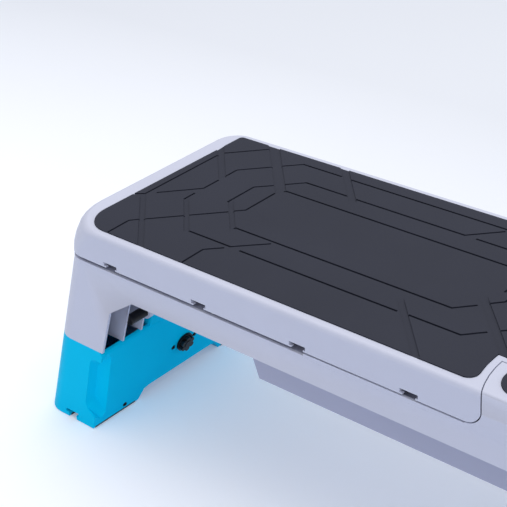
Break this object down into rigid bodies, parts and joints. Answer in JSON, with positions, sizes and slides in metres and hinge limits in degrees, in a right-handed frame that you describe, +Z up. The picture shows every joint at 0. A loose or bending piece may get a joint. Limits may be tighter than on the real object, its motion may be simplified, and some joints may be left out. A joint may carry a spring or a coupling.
{
  "type": "aerobic step",
  "caption": "Workout deck: a low step on two folding legs whose hinged lid props up as a backrest, over a storage tub.",
  "frame": {"origin": "on the floor, under the middle of the deck, in the high stance with both legs out", "axes": "+X along the deck from the backrest end to the seat end, +Y from front to back, +Z up"},
  "size_m": [1.2626, 0.3664, 0.355],
  "materials": {
    "grey_shell": "fine-textured moulded plastic",
    "dark_grey_inner": "moulded plastic, plain",
    "tread_rubber": "matt moulded rubber with a grooved tread",
    "blue_shell": "satin moulded plastic",
    "foot_rubber": "plain black rubber",
    "black_plastic": "moulded plastic, plain",
    "black_screw": "black oxide",
    "zinc_steel": "zinc plated",
    "spring_steel": "bright wire"
  },
  "bodies": {
    "root": {"base_frame": "grey_shell", "deck_panel": "dark_grey_inner", "panel_screws": "zinc_steel", "storage_tub": "dark_grey_inner", "tub_screws": "zinc_steel", "prop_rack": "black_plastic", "rack_screws": "zinc_steel", "seat_mat": "tread_rubber", "backrest_hinge_pin": "zinc_steel", "hinge_pin_caps": "black_plastic", "left_hinge_rod": "zinc_steel", "right_hinge_rod": "zinc_steel", "rod_end_caps": "black_plastic", "left_latch_bars": "black_plastic", "right_latch_bars": "black_plastic", "low_stance_pads": "foot_rubber"},
    "backrest": {"backrest_lid": "grey_shell", "backrest_mat": "tread_rubber", "lid_bumpers": "foot_rubber", "prop_brackets": "zinc_steel", "prop_pins": "zinc_steel", "bracket_screws": "zinc_steel"},
    "prop": {"prop_frame": "zinc_steel", "prop_sleeve": "foot_rubber"},
    "left_leg": {"left_leg_shell": "blue_shell", "left_leg_yoke": "dark_grey_inner", "left_leg_feet": "foot_rubber", "left_leg_screws": "black_screw", "left_knob_plate": "black_plastic", "left_plate_screws": "black_screw", "left_knob_spring": "spring_steel"},
    "right_leg": {"right_leg_shell": "blue_shell", "right_leg_yoke": "dark_grey_inner", "right_leg_feet": "foot_rubber", "right_leg_screws": "black_screw", "right_knob_plate": "black_plastic", "right_plate_screws": "black_screw", "right_knob_spring": "spring_steel"},
    "left_pull": {"left_knob": "black_plastic", "left_knob_stem": "zinc_steel"},
    "right_pull": {"right_knob": "black_plastic", "right_knob_stem": "zinc_steel"}
  },
  "joints": [
    {"name": "backrest_hinge", "type": "hinge", "parent": "root", "child": "backrest", "pos_m": [0.252, 0, 0.34], "axis": [0, 1, 0], "range_deg": [0, 75]},
    {"name": "prop_hinge", "type": "hinge", "parent": "backrest", "child": "prop", "pos_m": [0.112, 0, 0.318], "axis": [0, 1, 0], "range_deg": [-134, 0]},
    {"name": "left_leg_fold", "type": "hinge", "parent": "root", "child": "left_leg", "pos_m": [-0.47559, 0, 0.22597], "axis": [0, -1, 0], "range_deg": [0, 109.5]},
    {"name": "right_leg_fold", "type": "hinge", "parent": "root", "child": "right_leg", "pos_m": [0.47559, 0, 0.22597], "axis": [0, 1, 0], "range_deg": [0, 109.5]},
    {"name": "left_knob_pull", "type": "slide", "parent": "left_leg", "child": "left_pull", "axis": [0.9563, 0, -0.2924], "range_m": [0, 0.008], "stiffness_N_per_m": 600, "deforming": ["left_knob_spring"]},
    {"name": "right_knob_pull", "type": "slide", "parent": "right_leg", "child": "right_pull", "axis": [-0.9563, 0, -0.2924], "range_m": [0, 0.008], "stiffness_N_per_m": 600, "deforming": ["right_knob_spring"]}
  ],
  "couplings": [
    {"joint": "prop_hinge", "follows": "backrest_hinge", "ratio": -1.783}
  ]
}
